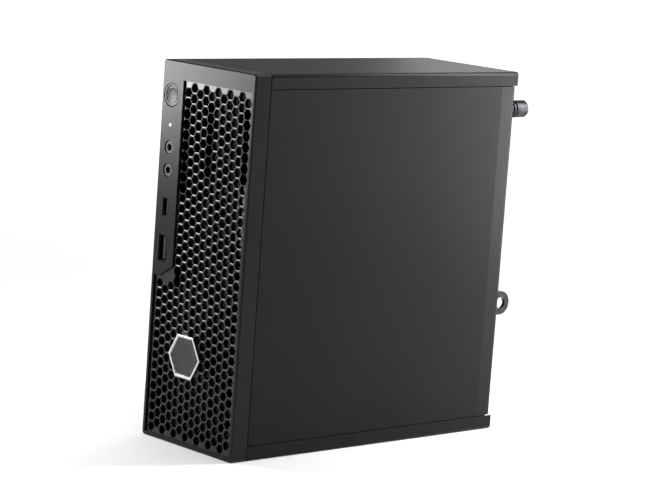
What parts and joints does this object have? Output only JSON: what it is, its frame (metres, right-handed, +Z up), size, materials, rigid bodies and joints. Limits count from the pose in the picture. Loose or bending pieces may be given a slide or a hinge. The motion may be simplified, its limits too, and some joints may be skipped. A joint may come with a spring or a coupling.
{
  "type": "compact upright desktop computer",
  "caption": "Slim upright desktop computer with a honeycomb front, a slide-off side cover held by a thumbscrew, and boards, coolers, a drive and a graphics card inside.",
  "frame": {"origin": "centre of the base face, on the plane the case stands on", "axes": "+Z up, -Y out of the honeycomb front, +Y out of the rear sockets, +X out of the removable side cover"},
  "size_m": [0.0716, 0.1902, 0.1886],
  "materials": {
    "shell_paint": "fine textured black powder coat",
    "inner_steel": "bare zinc-coated sheet",
    "bezel_plastic": "satin black moulding",
    "grille_plastic": "semi-gloss black honeycomb",
    "badge_metal": "satin rim round a dark centre",
    "lens": "clear light guide",
    "board": "green solder mask over glass-fibre board",
    "memory_board": "dark green solder mask with black packages",
    "socket_plastic": "black moulding",
    "socket_steel": "plated steel shell",
    "screw_steel": "nickel-plated steel",
    "fin_aluminium": "bare aluminium",
    "fan_plastic": "dark moulding",
    "antenna_brass": "gold-plated brass",
    "foot_rubber": "matt black rubber",
    "cable_jacket": "soft black jacket"
  },
  "bodies": {
    "case": {"activity_lens": "lens", "antenna_sockets": "antenna_brass", "badge": "badge_metal", "blower_housing": "socket_plastic", "board_screws": "screw_steel", "board_sockets": "socket_plastic", "board_standoffs": "screw_steel", "card_slot": "socket_plastic", "chassis_shell": "shell_paint", "coin_cell": "socket_steel", "coin_holder": "socket_plastic", "display_sockets": "socket_steel", "drive_cage": "inner_steel", "drive_connector": "socket_plastic", "ethernet_socket": "socket_steel", "front_bezel": "bezel_plastic", "front_grille": "grille_plastic", "front_panel": "inner_steel", "graphics_board": "board", "graphics_bracket": "inner_steel", "graphics_cooler": "fin_aluminium", "graphics_sockets": "socket_steel", "headset_jack": "socket_plastic", "heatsink": "fin_aluminium", "heatsink_screws": "screw_steel", "inner_cables": "cable_jacket", "intrusion_switch": "inner_steel", "io_board": "board", "line_out_jack": "socket_plastic", "memory_modules": "memory_board", "motherboard": "board", "option_cover": "shell_paint", "padlock_ring": "screw_steel", "power_inlet": "socket_plastic", "power_switch": "socket_plastic", "processor": "socket_steel", "rear_panel": "shell_paint", "rear_usb_sockets": "socket_steel", "riser_board": "board", "riser_bracket": "inner_steel", "side_feet": "foot_rubber", "speaker": "socket_plastic", "storage_card": "memory_board", "usb_a_socket": "socket_steel", "usb_c_socket": "socket_steel", "wireless_card": "memory_board"},
    "cover": {"side_cover": "shell_paint", "thumbscrew_collar": "screw_steel"},
    "screw_carrier": {"thumbscrew_washer": "screw_steel"},
    "screw": {"thumbscrew": "screw_steel"},
    "button": {"power_button": "bezel_plastic"},
    "blower_wheel": {"blower_rotor": "fan_plastic"},
    "card_fan": {"graphics_fan": "fan_plastic"},
    "drive": {"drive_carrier": "socket_plastic", "hard_drive": "fin_aluminium"},
    "cover_plunger": {"intrusion_plunger": "fan_plastic"},
    "clip_lower_1": {"memory_clip_lower_1": "socket_steel"},
    "clip_upper_1": {"memory_clip_upper_1": "socket_steel"},
    "clip_lower_2": {"memory_clip_lower_2": "socket_steel"},
    "clip_upper_2": {"memory_clip_upper_2": "socket_steel"}
  },
  "joints": [
    {"name": "side_cover_slide", "type": "slide", "parent": "case", "child": "cover", "axis": [0, 1, 0], "range_m": [0, 0.186]},
    {"name": "thumbscrew_backout", "type": "slide", "parent": "cover", "child": "screw_carrier", "axis": [0, 1, 0], "range_m": [0, 0.0048]},
    {"name": "thumbscrew_turn", "type": "hinge", "parent": "screw_carrier", "child": "screw", "pos_m": [0.0285, 0.089, 0.1686], "axis": [0, 1, 0], "range_deg": [0, 2160]},
    {"name": "power_button_press", "type": "slide", "parent": "case", "child": "button", "axis": [0, 1, 0], "range_m": [0, 0.0008], "stiffness_N_per_m": 1500, "springref_m": -0.0005},
    {"name": "blower_spin", "type": "hinge", "parent": "case", "child": "blower_wheel", "pos_m": [-0.02, -0.02725, 0.1374], "axis": [1, 0, 0], "continuous": true},
    {"name": "graphics_fan_spin", "type": "hinge", "parent": "case", "child": "card_fan", "pos_m": [0.0082, -0.02, 0.05], "axis": [1, 0, 0], "continuous": true},
    {"name": "drive_slide", "type": "slide", "parent": "case", "child": "drive", "axis": [0, 1, 0], "range_m": [0, 0.012]},
    {"name": "cover_plunger_press", "type": "slide", "parent": "case", "child": "cover_plunger", "axis": [-1, 0, 0], "range_m": [0, 0.0012], "stiffness_N_per_m": 300, "springref_m": -0.001},
    {"name": "memory_clip_lower_1_open", "type": "hinge", "parent": "case", "child": "clip_lower_1", "pos_m": [-0.027, -0.04645, 0.0108], "axis": [-1, 0, 0], "range_deg": [0, 12], "stiffness_Nm_per_rad": 0.05},
    {"name": "memory_clip_upper_1_open", "type": "hinge", "parent": "case", "child": "clip_upper_1", "pos_m": [-0.027, -0.04645, 0.0832], "axis": [1, 0, 0], "range_deg": [0, 12], "stiffness_Nm_per_rad": 0.05},
    {"name": "memory_clip_lower_2_open", "type": "hinge", "parent": "case", "child": "clip_lower_2", "pos_m": [-0.027, -0.00595, 0.0108], "axis": [-1, 0, 0], "range_deg": [0, 12], "stiffness_Nm_per_rad": 0.05},
    {"name": "memory_clip_upper_2_open", "type": "hinge", "parent": "case", "child": "clip_upper_2", "pos_m": [-0.027, -0.00595, 0.0832], "axis": [1, 0, 0], "range_deg": [0, 12], "stiffness_Nm_per_rad": 0.05}
  ],
  "couplings": [
    {"joint": "thumbscrew_backout", "follows": "thumbscrew_turn", "m_per_rad": 0.00012732}
  ]
}
